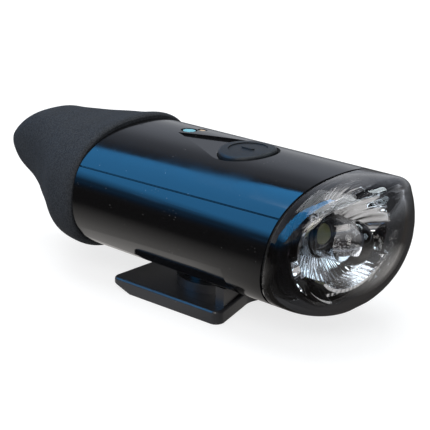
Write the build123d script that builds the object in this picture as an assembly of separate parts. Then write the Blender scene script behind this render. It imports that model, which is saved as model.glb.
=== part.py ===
from build123d import *
from math import atan2, copysign, cos, degrees, pi, sin, sqrt
import os

os.makedirs("parts", exist_ok=True)

# A handlebar headlight. All lengths are millimetres and all angles degrees.
# While it is built, X is to the right, Y runs back from the lens edge and Z is up from the body axis.
# Every piece is then moved so that the origin is the middle of the foot's underside.

# Shared values
full_turn = 2 * pi
half_turn_degrees = 180
quarter_turn = pi / 2
half = 1 / 2
overrun = 5.0
free_gap = 0.3
running_gap = 0.05

# Body outline: a rounded oval that narrows a little towards the back
body_half_width = 21.0
body_rise = 14.9
body_drop = 16.6
body_length = 60.5
body_taper_share = 0.037
outline_bend_share = 0.8333
outline_points = 20
shell_wall = 1.8
lens_lean = 13.4
seam_lean = 6.3

# Flat bands along the lower sides
facet_across = 18.4
facet_down = 8.2
facet_angle = 53.0
facet_front = 13.6
facet_depth = 6.0
facet_width = 24.0

# Fine line along the upper shell
styling_line_front_height = 8.7
styling_line_back_height = 7.2
styling_line_width = 0.3
styling_line_depth = 0.3

# Parting lip inside the lower shell
lip_inset = 1.85
lip_wall = 0.8
lip_height = 1.2
lip_root = 1.5
lip_root_inset = 1.0
lip_front = 12.0
lip_back = 55.0

# Front lens
dome_radius = 22.8
dome_reach = 18.4
dome_height = 3.6
lens_edge_radius = 5.0
lens_wall = 2.0
lens_inner_gap = 0.35
spigot_inset = 1.95
spigot_wall = 1.1
spigot_root = 1.5
spigot_root_inset = 0.9

# Lens gasket
gasket_thickness = 0.6
gasket_inset = 0.5
gasket_wall = 1.35

# Black surround of the reflector
surround_station = -3.9
surround_inset = 3.5
surround_wall = 0.8
surround_flange_station = 3.4
surround_flange_thickness = 1.2
surround_flange_inset = 1.9
surround_gap = 0.1
shell_ring_thickness = 1.2
shell_ring_inset = 4.0

# Reflector bowl
rim_station = -5.7
rim_half_width = 16.8
rim_rise = 10.7
rim_drop = 12.8
rim_lean_share = 0.14
bowl_bend_share = 0.95
bowl_wall = 0.7
bowl_base_station = 0.7
bowl_base_radius = 5.3
bowl_depth_shares = [0.0, 0.32, 0.6, 0.83, 1.0]
bowl_width_shares = [1.0, 0.84, 0.62, 0.34, 0.0]
window_half_height = 3.9
window_depth = 2.7
window_height = -3.6
window_frame = 0.6
window_inner_across = 12.0
window_outer_across = 16.7
ledge_front = -8.7
ledge_back = -3.2
ledge_half_width = 14.0
ledge_drop = 9.9
ledge_wall = 0.7
ledge_top = -5.5
chin_half_width = 7.0
chin_front = -9.5
chin_back = -5.4
boss_across = 10.8
boss_radius = 2.0
boss_front = -2.6

# Projector lens in front of the light source
projector_radius = 5.0
projector_reach = 11.6
projector_shoulder_station = -6.9
projector_pocket_radius = 3.95
projector_pocket_depth = 6.4

# Light source, its board and the heat sink behind it
led_board_station = 1.2
led_board_radius = 8.0
led_board_thickness = 1.6
emitter_side = 5.2
emitter_thickness = 0.7
phosphor_radius = 2.3
phosphor_sphere_radius = 3.2
sink_half_width = 14.0
sink_half_height = 8.0
sink_corner = 3.5
sink_plate = 2.4
sink_fin_length = 2.8
sink_fin_thickness = 1.0
sink_fin_pitch = 3.4
sink_fin_count = 7

# Battery cell and its cradle
cell_radius = 9.2
cell_length = 65.0
cell_front = 9.4
cell_height = -0.9
cell_button_radius = 2.7
cell_button_length = 0.7
cell_edge = 0.6
cradle_wall = 1.2
cradle_front = 9.7
cradle_back = 56.0
cradle_foot_half_width = 6.0
cradle_foot_level = -12.0
cradle_window_length = 9.0
cradle_window_pitch = 15.0
cradle_window_count = 3
cradle_window_low = 1.5
cradle_window_high = 6.5
tab_thickness = 0.3
tab_half_width = 3.0
tab_drop = 3.0

# Control board and what sits on it
board_level = 8.7
board_thickness = 1.0
board_half_width = 10.6
board_front = 8.4
board_back = 56.0
board_corner = 1.5
switch_side = 6.0
switch_height = 1.3
plunger_radius = 1.0
plunger_top = 11.5
plunger_length = 1.0
switch_well_depth = 1.1
chip_side = 5.0
chip_height = 0.9
chip_across = -4.6
chip_station = 37.5
coil_side = 6.0
coil_height = 1.6
coil_across = 4.6
coil_station = 37.0
coil_corner = 1.2
capacitor_length = 2.0
capacitor_width = 1.25
capacitor_height = 0.8
capacitor_pitch = 2.8
capacitor_count = 4
capacitor_station = 51.0
indicator_led_width = 1.6
indicator_led_height = 0.8

# Power button in its drop-shaped recess
recess_radius = 8.3
recess_station = 24.7
recess_tip_station = 45.5
recess_depth = 1.4
recess_tip_depth = 0.3
recess_floor = 1.0
recess_pad_margin = 1.6
button_half_width = 7.2
button_half_length = 6.4
button_station = 23.6
button_stand = 0.6
button_edge = 0.7
button_dish_depth = 0.25
button_dish_share = 0.68
button_bar_length = 3.6
button_bar_width = 1.0
button_bar_rise = 0.35
button_underside = 11.8
button_nub_radius = 1.6
button_flange_half_width = 8.6
button_flange_half_length = 7.8
button_flange_inner = 1.0
button_flange_thickness = 0.7

# Indicator windows beside the recess tip
window_a_across = 3.4
window_a_station = 45.1
window_a_radius = 1.5
window_b_across = 6.3
window_b_station = 43.5
window_b_radius = 0.7
indicator_pipe_level = 11.4
indicator_rim = 0.5
indicator_rim_depth = 0.3
indicator_inset = 0.1

# Collar of the shells under the rubber cap
collar_inset = 2.3
collar_front = 57.0
collar_back = 80.0
collar_half_width = 10.1
collar_rise = 11.2
collar_drop = 11.0
collar_wall = 1.4
shoulder_thickness = 2.4
shoulder_inset = 3.7

# Screws through the collar that join the two shells
shell_screw_across = 12.4
shell_screw_station = 65.0
shell_boss_radius = 2.6
shell_screw_radius = 1.0
shell_screw_head_radius = 1.7
shell_screw_head_height = 1.3
shell_screw_seat = -4.6
shell_screw_top = 5.0

# End plate with the charging port
end_plate_thickness = 1.4
end_boss_height = 8.4
end_boss_radius = 1.9
end_boss_front = 74.8
end_screw_radius = 0.8
end_screw_length = 5.2
end_screw_head_radius = 1.5
end_screw_head_height = 0.9
port_board_station = 75.4
port_board_thickness = 1.0
port_board_half_width = 8.4
port_board_half_height = 5.2
port_width = 8.9
port_height = 3.2
port_length = 7.0
port_wall = 0.3
port_corner = 1.4
port_tongue = 0.7
port_tongue_width = 6.6
port_tongue_length = 4.6

# Rubber cap outlines from its front edge to the tip of the pull tab
cap_front_gap = 0.35
cap_length = 42.4
cap_half_width = 21.4
cap_rise = 16.1
cap_drop = 17.5
cap_run_shares = [
    0.0, 0.018, 0.09, 0.18, 0.275, 0.36, 0.45, 0.54,
    0.63, 0.72, 0.81, 0.885, 0.94, 0.975, 0.993,
]
cap_width_shares = [
    0.952, 0.978, 0.962, 0.914, 0.828, 0.715, 0.6, 0.492,
    0.395, 0.318, 0.262, 0.209, 0.15, 0.107, 0.057,
]
cap_rise_shares = [
    0.94, 0.975, 0.951, 0.915, 0.885, 0.86, 0.842, 0.828,
    0.795, 0.71, 0.597, 0.467, 0.347, 0.252, 0.179,
]
cap_drop_shares = [
    0.935, 0.972, 0.994, 0.984, 0.94, 0.866, 0.768, 0.66,
    0.533, 0.42, 0.328, 0.238, 0.147, 0.061, -0.029,
]
cap_clearance = 0.3
cap_pocket_half_width = 5.2
cap_pocket_half_height = 2.4
cap_pocket_back = 84.0

# Slide foot under the belly
foot_half_width = 16.0
foot_front = 18.2
foot_notch_station = 22.4
foot_notch_start = 13.6
foot_back = 52.0
foot_level = -19.0
foot_bottom = -22.2
foot_back_level = -20.2
foot_lead_station = 46.0
foot_corner = 1.8
foot_notch_radius = 6.0
foot_edge = 0.7
foot_middle_station = 35.0
pillar_station = 32.0
pillar_radius = 10.0
pad_radius = 8.6
pad_level = -16.9
stop_wall_setback = 1.0
stop_wall_thickness = 2.2
stop_wall_half_width = 12.5
foot_screw_pitch = 10.0
foot_screw_radius = 1.45
foot_screw_head_radius = 2.7
foot_screw_head_height = 1.6
foot_screw_seat = -20.0
foot_screw_top = -12.9
foot_boss_radius = 3.2
latch_notch_width = 9.0
latch_notch_length = 3.0
latch_notch_depth = 1.2
latch_notch_station = 43.0
driver_slot_radius_share = 0.5
driver_slot_depth_share = 0.5
driver_sides = 6

model_shift = Location((0, -foot_middle_station, -foot_bottom))


def bend(value, bend_share):
    return copysign(abs(value) ** bend_share, value)


def slope_of(lean):
    """Run back per unit of height of a plane that leans forward at the top."""
    return -sin(lean * pi / half_turn_degrees) / cos(lean * pi / half_turn_degrees)


def oval_wire(station, half_width, rise, drop, bend_share=outline_bend_share, slope=0):
    """Closed rounded oval across the light at one station, its plane sloping by run per height."""
    points = []
    for step in range(outline_points):
        turn = full_turn * step / outline_points - quarter_turn
        across = half_width * bend(cos(turn), bend_share)
        up = bend(sin(turn), bend_share)
        up = up * rise if up >= 0 else up * drop
        points.append(Vector(across, station + slope * up, up))
    return Wire([Edge.make_spline(points, periodic=True)])


def hull_wire(station, slope, inset):
    """Body outline made smaller by an inset, on a plane that may slope."""
    taper = body_taper_share / body_length
    points = []
    for step in range(outline_points):
        turn = full_turn * step / outline_points - quarter_turn
        across = bend(cos(turn), outline_bend_share)
        up = bend(sin(turn), outline_bend_share)
        reach = body_rise if up >= 0 else body_drop
        level = (reach * (1 - taper * station) - inset) * up / (1 + reach * taper * slope * up)
        place = station + slope * level
        side = (body_half_width * (1 - taper * place) - inset) * across
        points.append(Vector(side, place, level))
    return Wire([Edge.make_spline(points, periodic=True)])


def hull_size(station, inset):
    """Half width, rise and drop of the body outline at a station, made smaller by an inset."""
    share = 1 - body_taper_share * station / body_length
    return body_half_width * share - inset, body_rise * share - inset, body_drop * share - inset


def hull(start, stop, inset, start_lean=0, stop_lean=0):
    """Length of the body outline as a solid, its ends upright or leaning."""
    first = hull_wire(start, slope_of(start_lean), inset)
    last = hull_wire(stop, slope_of(stop_lean), inset)
    return Solid.make_loft([first, last], True)


def hull_ring(start, stop, lean, outer_inset, inner_inset):
    """Ring between two insets of the body outline and between two leaning planes."""
    inner = hull(start - overrun, stop + overrun, inner_inset, lean, lean)
    return hull(start, stop, outer_inset, lean, lean) - inner


def block(x_low, x_high, y_low, y_high, z_low, z_high):
    """Box between pairs of limits along X, Y and Z."""
    box = Box(x_high - x_low, y_high - y_low, z_high - z_low, align=(Align.MIN, Align.MIN, Align.MIN))
    return Pos(x_low, y_low, z_low) * box


def post(across, station, z_low, z_high, radius):
    """Upright cylinder."""
    pin = Cylinder(radius, z_high - z_low, align=(Align.CENTER, Align.CENTER, Align.MIN))
    return Pos(across, station, z_low) * pin


def rod(across, height, y_low, y_high, radius):
    """Cylinder along the light."""
    pin = Cylinder(radius, y_high - y_low, align=(Align.CENTER, Align.CENTER, Align.MIN))
    return Pos(across, y_low, height) * Rot(-90, 0, 0) * pin


def upright(sketch, z_low, z_high):
    """Plan outline pulled up between two levels."""
    return Pos(0, 0, z_low) * extrude(sketch, amount=z_high - z_low)


def across_plate(sketch, y_low, y_high):
    """Outline drawn in X and Z pulled back between two stations."""
    return extrude(Plane.XZ.offset(-y_high) * sketch, amount=y_high - y_low)


def mirrored(shape):
    """The shape and its mirror image across the middle of the light."""
    return shape + mirror(shape, about=Plane.YZ)


def facet_cutters():
    """Two long blocks that shave flat bands along the lower sides behind a small step."""
    length = body_length + overrun - facet_front
    cutter = Box(facet_width, length, facet_depth, align=(Align.CENTER, Align.MIN, Align.MAX))
    right = Pos(facet_across, facet_front, -facet_down) * Rot(0, -facet_angle, 0) * cutter
    return [right, mirror(right, about=Plane.YZ)]


def styling_lines():
    """Fine groove along both sides of the upper shell, a little higher towards the lens."""
    front = gasket_thickness + slope_of(lens_lean) * body_rise
    length = body_length - front
    lean = degrees(atan2(styling_line_back_height - styling_line_front_height, length))
    band = Box(
        body_half_width + body_half_width,
        length + overrun,
        styling_line_width,
        align=(Align.CENTER, Align.MIN, Align.CENTER),
    )
    band = Pos(0, front, styling_line_front_height) * Rot(lean, 0, 0) * band
    return band - hull(front - overrun, body_length + overrun + overrun, styling_line_depth)


def collar_loft(grow, start, stop):
    """Tapering neck that the rubber cap slides over, grown or shrunk by one amount."""
    run = collar_back - collar_front
    front_size = hull_size(collar_front, collar_inset)
    back_size = (collar_half_width, collar_rise, collar_drop)
    wires = []
    for station in (start, stop):
        share = (station - collar_front) / run
        sizes = [a + (b - a) * share + grow for a, b in zip(front_size, back_size)]
        wires.append(oval_wire(station, *sizes))
    return Solid.make_loft(wires, True)


def shell_body():
    """Both shells and their collar before they are parted, without bosses."""
    rear = body_length
    front = gasket_thickness
    outer = hull(front, rear, 0, lens_lean, seam_lean)
    inner = hull(front - overrun, rear + overrun, shell_wall, lens_lean, seam_lean)
    tube = outer - [inner, *facet_cutters()]
    ring_front = surround_flange_station + surround_flange_thickness
    ring_back = ring_front + shell_ring_thickness
    ring = hull_ring(ring_front, ring_back, lens_lean, shell_wall * half, shell_ring_inset)
    shoulder = hull_ring(rear - shoulder_thickness, rear, seam_lean, shell_wall * half, shoulder_inset)
    neck_start = collar_front + shoulder_thickness * half
    neck = collar_loft(0, neck_start, collar_back)
    neck -= collar_loft(-collar_wall, neck_start - overrun, collar_back + overrun)
    return tube + [ring, shoulder, neck]


def shell_screw_places():
    return [(-shell_screw_across, shell_screw_station), (shell_screw_across, shell_screw_station)]


def half_room(level_low, level_high):
    """Box that holds everything behind the lens between two levels."""
    side = body_half_width + overrun
    return block(-side, side, -dome_reach, collar_back + overrun, level_low, level_high)


def recess_outline(grow):
    """Drop-shaped outline: a round front end with straight sides to a point at the back."""
    radius = recess_radius + grow
    run = recess_tip_station - recess_station + grow
    lean = sqrt(run * run - radius * radius)
    along = radius * radius / run
    across = radius * lean / run
    wedge = Polyline((across, along), (0, run), (-across, along), (across, along))
    shape = Circle(radius) + make_face(wedge)
    return Pos(0, recess_station) * shape


def oval_outline(half_width, half_length, station):
    return Pos(0, station) * Ellipse(half_width, half_length)


def crown_level(station, depth):
    """Height of the crown's middle line, less a depth."""
    return body_rise * (1 - body_taper_share * station / body_length) - depth


def recess_solid():
    """Material taken out of the crown down to a flat floor, deepest in front of the key."""
    front = recess_station - recess_radius
    back = recess_tip_station
    profile = Polyline(
        (front - overrun, 0),
        (back + overrun, 0),
        (back + overrun, crown_level(back, recess_tip_depth)),
        (front - overrun, crown_level(front, recess_depth)),
        (front - overrun, 0),
    )
    wedge = extrude(Plane.YZ * make_face(profile), amount=body_half_width, both=True)
    return upright(recess_outline(0), 0, body_rise + overrun) - wedge


def recess_pad():
    """Thicker wall under the recess."""
    stock = upright(recess_outline(recess_pad_margin), 0, body_rise + overrun)
    band = hull(-overrun, body_length + overrun, shell_wall * half) - hull(
        -overrun, body_length + overrun, recess_depth + recess_floor
    )
    return stock & band


def indicator_places():
    return [
        (window_a_across, window_a_station, window_a_radius),
        (window_b_across, window_b_station, window_b_radius),
    ]


def upper_shell(whole):
    """Top half of the body with the button recess, indicator holes and screw bosses."""
    neck = collar_loft(-collar_wall * half, collar_front, collar_back)
    bosses = []
    for across, station in shell_screw_places():
        bosses.append(post(across, station, 0, body_rise, shell_boss_radius))
    bosses.append(rod(0, end_boss_height, end_boss_front, collar_back, end_boss_radius))
    bosses = [boss & neck for boss in bosses]
    shell = (whole & half_room(0, body_rise + overrun)) + [*bosses, recess_pad()]
    opening = oval_outline(button_half_width + free_gap, button_half_length + free_gap, button_station)
    cuts = [recess_solid(), upright(opening, 0, body_rise + overrun), styling_lines()]
    skin = hull(recess_station, body_length, -overrun) - hull(
        recess_station - overrun, body_length + overrun, indicator_rim_depth
    )
    for across, station, radius in indicator_places():
        cuts.append(post(across, station, 0, body_rise + overrun, radius + running_gap))
        cuts.append(post(across, station, 0, body_rise + overrun, radius + indicator_rim) & skin)
    for across, station in shell_screw_places():
        cuts.append(
            post(across, station, -overrun, shell_screw_top + free_gap, shell_screw_radius + running_gap)
        )
    hole_front = collar_back - end_screw_length
    cuts.append(
        rod(0, end_boss_height, hole_front, collar_back + overrun, end_screw_radius + running_gap)
    )
    return shell - cuts


def foot_screw_places():
    step = foot_screw_pitch * half
    return [(0, pillar_station - step), (0, pillar_station + step)]


def parting_lip():
    """Thin upright lip that centres the two shells on each other."""
    side = body_half_width
    outer = hull(lip_front, lip_back, lip_inset)
    inner = hull(lip_front - overrun, lip_back + overrun, lip_inset + lip_wall)
    lip = (outer - inner) & block(-side, side, lip_front, lip_back, -lip_root, lip_height)
    root_outer = hull(lip_front, lip_back, lip_root_inset)
    root = (root_outer - inner) & block(-side, side, lip_front, lip_back, -lip_root, 0)
    return lip + root


def lower_shell(whole):
    """Bottom half of the body with the pad for the foot and the parting lip."""
    neck = collar_loft(-collar_wall * half, collar_front, collar_back)
    bosses = []
    for across, station in shell_screw_places():
        bosses.append(post(across, station, -body_drop, 0, shell_boss_radius))
    bosses.append(rod(0, -end_boss_height, end_boss_front, collar_back, end_boss_radius))
    bosses = [boss & neck for boss in bosses]
    bosses.append(post(0, pillar_station, pad_level, pad_level + shell_wall, pad_radius))
    for across, station in foot_screw_places():
        bosses.append(
            post(across, station, pad_level + shell_wall * half, cradle_foot_level, foot_boss_radius)
        )
    shell = (whole & half_room(-body_drop - overrun, 0)) + [*bosses, parting_lip()]
    cuts = []
    for across, station in shell_screw_places():
        cuts.append(post(across, station, -body_drop, overrun, shell_screw_radius + running_gap))
        cuts.append(post(across, station, -body_drop, shell_screw_seat, shell_screw_head_radius + free_gap))
    hole_front = collar_back - end_screw_length
    cuts.append(
        rod(0, -end_boss_height, hole_front, collar_back + overrun, end_screw_radius + running_gap)
    )
    for across, station in foot_screw_places():
        cuts.append(
            post(across, station, foot_bottom, foot_screw_top + free_gap, foot_screw_radius + running_gap)
        )
    return shell - cuts


def dome(shrink):
    """Ball that rounds off the front of the lens."""
    return Pos(0, dome_radius - dome_reach, dome_height) * Sphere(dome_radius - shrink)


def front_lens():
    """Clear front: a short skirt that continues the body outline, rounded over into a shallow dome."""
    start = -dome_reach - overrun
    outer = hull(start, 0, 0, 0, lens_lean) & dome(0)
    front_edge = outer.edges().sort_by(Axis.Y)[0]
    outer = fillet([front_edge], lens_edge_radius)
    inner = hull(start - overrun, overrun, lens_wall, 0, lens_lean) & dome(lens_wall)
    root = hull_ring(
        -spigot_root, 0, lens_lean, spigot_root_inset, spigot_inset + spigot_wall
    )
    spigot = hull_ring(
        -spigot_root, surround_flange_station, lens_lean, spigot_inset, spigot_inset + spigot_wall
    )
    return (outer - inner) + [root, spigot]


def lens_gasket():
    """Flat rubber ring between the lens and the shells."""
    return hull_ring(0, gasket_thickness, lens_lean, gasket_inset, gasket_inset + gasket_wall)


def rim_wire(station, grow, share=1):
    """Rim outline of the reflector, or its section nearer to the round base."""
    sizes = []
    for size in (rim_half_width, rim_rise, rim_drop):
        sizes.append(bowl_base_radius + bowl_wall + (size - bowl_base_radius - bowl_wall) * share + grow)
    return oval_wire(station, *sizes, bowl_bend_share, rim_lean_share * share)


def reflector_surround():
    """Black tube round the reflector, with the flange that the lens clamps against the shells."""
    back = surround_flange_station + surround_flange_thickness
    slope = slope_of(lens_lean)
    wall_middle = surround_inset + surround_wall
    tube = Solid.make_loft(
        [
            rim_wire(surround_station, surround_gap + surround_wall),
            hull_wire(back, slope, surround_inset),
        ],
        True,
    )
    tube -= Solid.make_loft(
        [
            rim_wire(surround_station - surround_gap, surround_gap),
            hull_wire(back + surround_gap, slope, wall_middle),
        ],
        True,
    )
    flange = hull_ring(
        surround_flange_station, back, lens_lean, surround_flange_inset, surround_inset + surround_wall * half
    )
    return (tube + flange) & dome(lens_wall + lens_inner_gap)


def bowl_loft(shrink):
    """Smooth bowl from the oval rim down to the round base."""
    depth = bowl_base_station - rim_station
    wires = []
    for depth_share, width_share in zip(bowl_depth_shares, bowl_width_shares):
        wires.append(rim_wire(rim_station + depth * depth_share, -shrink, width_share))
    return Solid.make_loft(wires, False)


def window_prism(grow, inner, outer):
    """Half-round side window as a bar along X."""
    shape = Ellipse(window_depth + grow, window_half_height + grow)
    bar = extrude(Plane.YZ * shape, amount=outer - inner)
    return Pos(inner, rim_station, window_height) * bar


def ledge_loft(shrink, run_on):
    """Oval bar inside the bowl whose lower side is the ledge."""
    sizes = [ledge_half_width - shrink, ledge_drop - shrink, ledge_drop - shrink]
    return Solid.make_loft(
        [
            oval_wire(ledge_front - run_on, *sizes, bowl_bend_share),
            oval_wire(ledge_back + run_on, *sizes, bowl_bend_share),
        ],
        True,
    )


def reflector():
    """Bright bowl with two side windows, a lower ledge, an open chin and two screw bosses."""
    sink_front = led_board_station + led_board_thickness
    inside = bowl_loft(bowl_wall)
    frame = window_prism(window_frame, window_inner_across, window_outer_across)
    room = Solid.make_loft([rim_wire(rim_station + surround_gap, 0), rim_wire(bowl_base_station, 0)], True)
    frame = frame & block(0, body_half_width, rim_station, bowl_base_station, -rim_drop, rim_rise) & room
    parts = [frame, mirror(frame, about=Plane.YZ)]
    for side in (1, -1):
        parts.append(rod(side * boss_across, 0, boss_front, sink_front, boss_radius))
    parts = [part - inside for part in parts]
    cuts = []
    for side in (1, -1):
        window = window_prism(0, window_inner_across - overrun * half, window_outer_across + overrun)
        cuts.append(window if side > 0 else mirror(window, about=Plane.YZ))
        cuts.append(
            rod(side * boss_across, 0, -free_gap, sink_front + overrun, shell_screw_radius + running_gap)
        )
    cuts.append(
        block(
            -chin_half_width,
            chin_half_width,
            chin_front,
            chin_back,
            -rim_drop - overrun,
            -ledge_drop + running_gap,
        )
    )
    body = ((bowl_loft(0) - inside) + parts) - cuts
    room = block(
        -ledge_half_width, ledge_half_width, ledge_front, ledge_back, -ledge_drop - overrun, ledge_top
    )
    ledge = (ledge_loft(0, 0) - ledge_loft(ledge_wall, overrun)) & room
    outside = bowl_loft(0) - bowl_loft(bowl_wall * half)
    return (body + (ledge - outside)) & dome(lens_wall + lens_inner_gap)


def projector_lens():
    """Clear bullet-shaped lens that stands on the board over the light source."""
    nose = projector_reach + projector_shoulder_station
    body = rod(0, 0, projector_shoulder_station, led_board_station, projector_radius)
    ball = Sphere(projector_radius)
    ball = scale(ball, by=(1, nose / projector_radius, 1))
    body += Pos(0, projector_shoulder_station, 0) * ball
    pocket_top = led_board_station - projector_pocket_depth
    return body - rod(0, 0, pocket_top, led_board_station + overrun, projector_pocket_radius)


def led_emitter():
    """Square carrier of the light source."""
    side = emitter_side * half
    return block(-side, side, led_board_station - emitter_thickness, led_board_station, -side, side)


def led_phosphor():
    """Low yellow dome on the carrier."""
    front = led_board_station - emitter_thickness
    rise = sqrt(phosphor_sphere_radius ** 2 - phosphor_radius ** 2)
    ball = Pos(0, front + rise, 0) * Sphere(phosphor_sphere_radius)
    return ball & block(-emitter_side, emitter_side, front - overrun, front, -emitter_side, emitter_side)


def led_board():
    """Round metal-backed board."""
    return rod(0, 0, led_board_station, led_board_station + led_board_thickness, led_board_radius)


def heat_sink():
    """Aluminium plate with upright fins behind the light source."""
    front = led_board_station + led_board_thickness
    back = front + sink_plate
    outline = RectangleRounded(2 * sink_half_width, 2 * sink_half_height, sink_corner)
    body = across_plate(outline, front, back)
    first = -sink_fin_pitch * (sink_fin_count - 1) * half
    for index in range(sink_fin_count):
        middle = first + sink_fin_pitch * index
        fin_edge = sink_fin_thickness * half
        fin_half_height = sink_half_height - sink_fin_thickness
        body += block(
            middle - fin_edge,
            middle + fin_edge,
            back,
            back + sink_fin_length,
            -fin_half_height,
            fin_half_height,
        )
    for side in (1, -1):
        body -= rod(side * boss_across, 0, front - overrun, back + overrun, shell_screw_radius + running_gap)
        body -= rod(
            side * boss_across, 0, back, back + overrun + sink_fin_length, shell_screw_head_radius + free_gap
        )
    return body


def screw(shank_radius, shank_length, head_radius, head_height):
    """Round-headed screw along +Z, its head's underside at zero."""
    body = post(0, 0, 0, shank_length, shank_radius)
    body += post(0, 0, -head_height, 0, head_radius)
    socket = RegularPolygon(head_radius * driver_slot_radius_share, driver_sides)
    return body - upright(socket, -head_height, -head_height * driver_slot_depth_share)


def heat_sink_screws():
    """Two screws from the fins side through the plate into the reflector bosses."""
    back = led_board_station + led_board_thickness + sink_plate
    length = back
    screws = []
    for side in (1, -1):
        piece = screw(shell_screw_radius, length, shell_screw_head_radius, shell_screw_head_height)
        screws.append(Pos(side * boss_across, back, 0) * Rot(90, 0, 0) * piece)
    return screws


def cell():
    """Cylindrical rechargeable cell, its raised contact towards the lens."""
    back = cell_front + cell_length
    can = fillet(
        rod(0, cell_height, cell_front + cell_button_length, back, cell_radius).edges(), cell_edge
    )
    button_back = cell_front + cell_button_length + cell_edge
    return can + rod(0, cell_height, cell_front, button_back, cell_button_radius)


def cell_cradle():
    """Open trough that carries the cell and holds the control board on its side walls."""
    inner = cell_radius + free_gap
    outer = inner + cradle_wall
    stock = rod(0, cell_height, cradle_front, cradle_back, outer)
    stock += block(-outer, outer, cradle_front, cradle_back, cell_height, board_level)
    stock += block(
        -cradle_foot_half_width,
        cradle_foot_half_width,
        cradle_front,
        cradle_back,
        cradle_foot_level,
        cell_height - inner,
    )
    stock -= rod(0, cell_height, cradle_front - overrun, cradle_back + overrun, inner)
    stock -= block(
        -inner, inner, cradle_front - overrun, cradle_back + overrun, cell_height, board_level + overrun
    )
    middle = (cradle_front + cradle_back) * half
    first = middle - cradle_window_pitch * (cradle_window_count - 1) * half
    for index in range(cradle_window_count):
        station = first + cradle_window_pitch * index
        stock -= block(
            -body_half_width,
            body_half_width,
            station - cradle_window_length * half,
            station + cradle_window_length * half,
            cradle_window_low,
            cradle_window_high,
        )
    return stock


def cell_tabs():
    """Two thin metal strips from the ends of the cell, the front one folded to the board."""
    low = cell_height - tab_drop
    front = block(-tab_half_width, tab_half_width, cell_front - tab_thickness, cell_front, low, board_level)
    back_station = cell_front + cell_length
    back = block(
        -tab_half_width,
        tab_half_width,
        back_station,
        back_station + tab_thickness,
        low,
        cell_height + tab_drop,
    )
    return [front, back]


def control_board():
    """Long board over the cell."""
    length = board_back - board_front
    plan = RectangleRounded(2 * board_half_width, length, board_corner)
    outline = Pos(0, board_front + length * half) * plan
    return upright(outline, board_level, board_level + board_thickness)


def board_top():
    return board_level + board_thickness


def tactile_switch():
    """Square push switch body under the button."""
    side = switch_side * half
    low = board_top()
    body = block(-side, side, button_station - side, button_station + side, low, low + switch_height)
    well = low + switch_height - switch_well_depth
    return body - post(0, button_station, well, low + overrun, plunger_radius + running_gap)


def switch_plunger():
    """Small pin of the switch that the button pushes."""
    return post(0, button_station, plunger_top - plunger_length, plunger_top, plunger_radius)


def power_button():
    """Oval rubber key with a dished top, a raised bar, a flange and a nub over the switch."""
    start = -overrun
    stop = body_length + overrun
    outline = oval_outline(button_half_width, button_half_length, button_station)
    column = upright(outline, button_underside, body_rise + overrun) & hull(start, stop, -button_stand)
    top_edges = column.edges().group_by(Axis.Z)[-1]
    column = fillet(top_edges, button_edge)
    dish_outline = oval_outline(
        button_half_width * button_dish_share, button_half_length * button_dish_share, button_station
    )
    dish = upright(dish_outline, button_underside, body_rise + overrun) - hull(
        start, stop, button_dish_depth - button_stand
    )
    column -= dish
    lengthwise = Plane(origin=(0, button_station), x_dir=(0, 1))
    bar_outline = lengthwise * SlotOverall(button_bar_length, button_bar_width)
    bar = upright(bar_outline, button_underside, body_rise + overrun) & hull(
        start, stop, button_dish_depth - button_stand - button_bar_rise
    )
    flange_outline = oval_outline(button_flange_half_width, button_flange_half_length, button_station)
    flange_outline -= oval_outline(
        button_half_width - button_flange_inner, button_half_length - button_flange_inner, button_station
    )
    top = recess_depth + recess_floor + running_gap
    flange = upright(flange_outline, 0, body_rise) & (
        hull(start, stop, top) - hull(start, stop, top + button_flange_thickness)
    )
    nub = post(0, button_station, plunger_top, button_underside + button_flange_thickness, button_nub_radius)
    return column + bar + flange + nub


def indicator_lens(index):
    """Clear plug that carries light from the board to the crown."""
    across, station, radius = indicator_places()[index]
    plug = post(across, station, indicator_pipe_level, body_rise + overrun, radius)
    return plug & hull(-overrun, body_length + overrun, indicator_inset)


def indicator_leds():
    """Two small light sources under the indicator windows."""
    side = indicator_led_width * half
    pieces = []
    for across, station, radius in indicator_places():
        pieces.append(
            block(
                across - side,
                across + side,
                station - side,
                station + side,
                board_top(),
                board_top() + indicator_led_height,
            )
        )
    return pieces


def controller_chip():
    side = chip_side * half
    return block(
        chip_across - side,
        chip_across + side,
        chip_station - side,
        chip_station + side,
        board_top(),
        board_top() + chip_height,
    )


def power_coil():
    """Square shielded coil with rounded corners."""
    outline = Pos(coil_across, coil_station) * RectangleRounded(coil_side, coil_side, coil_corner)
    return upright(outline, board_top(), board_top() + coil_height)


def board_capacitors():
    """Row of small capacitors across the board."""
    first = -capacitor_pitch * (capacitor_count - 1) * half
    pieces = []
    for index in range(capacitor_count):
        across = first + capacitor_pitch * index
        pieces.append(
            block(
                across - capacitor_width * half,
                across + capacitor_width * half,
                capacitor_station,
                capacitor_station + capacitor_length,
                board_top(),
                board_top() + capacitor_height,
            )
        )
    return pieces


def port_board():
    """Upright board behind the cell that carries the charging port."""
    outline = RectangleRounded(2 * port_board_half_width, 2 * port_board_half_height, board_corner)
    return across_plate(outline, port_board_station, port_board_station + port_board_thickness)


def port_outline(grow):
    return RectangleRounded(port_width + 2 * grow, port_height + 2 * grow, port_corner + grow)


def charging_port():
    """Flat-oval metal socket with a tongue inside."""
    front = port_board_station + port_board_thickness
    back = front + port_length
    body = across_plate(port_outline(0), front, back)
    body -= across_plate(port_outline(-port_wall), front + port_wall, back + overrun)
    tongue = block(
        -port_tongue_width * half,
        port_tongue_width * half,
        front,
        front + port_tongue_length,
        -port_tongue * half,
        port_tongue * half,
    )
    return body + tongue


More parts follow.
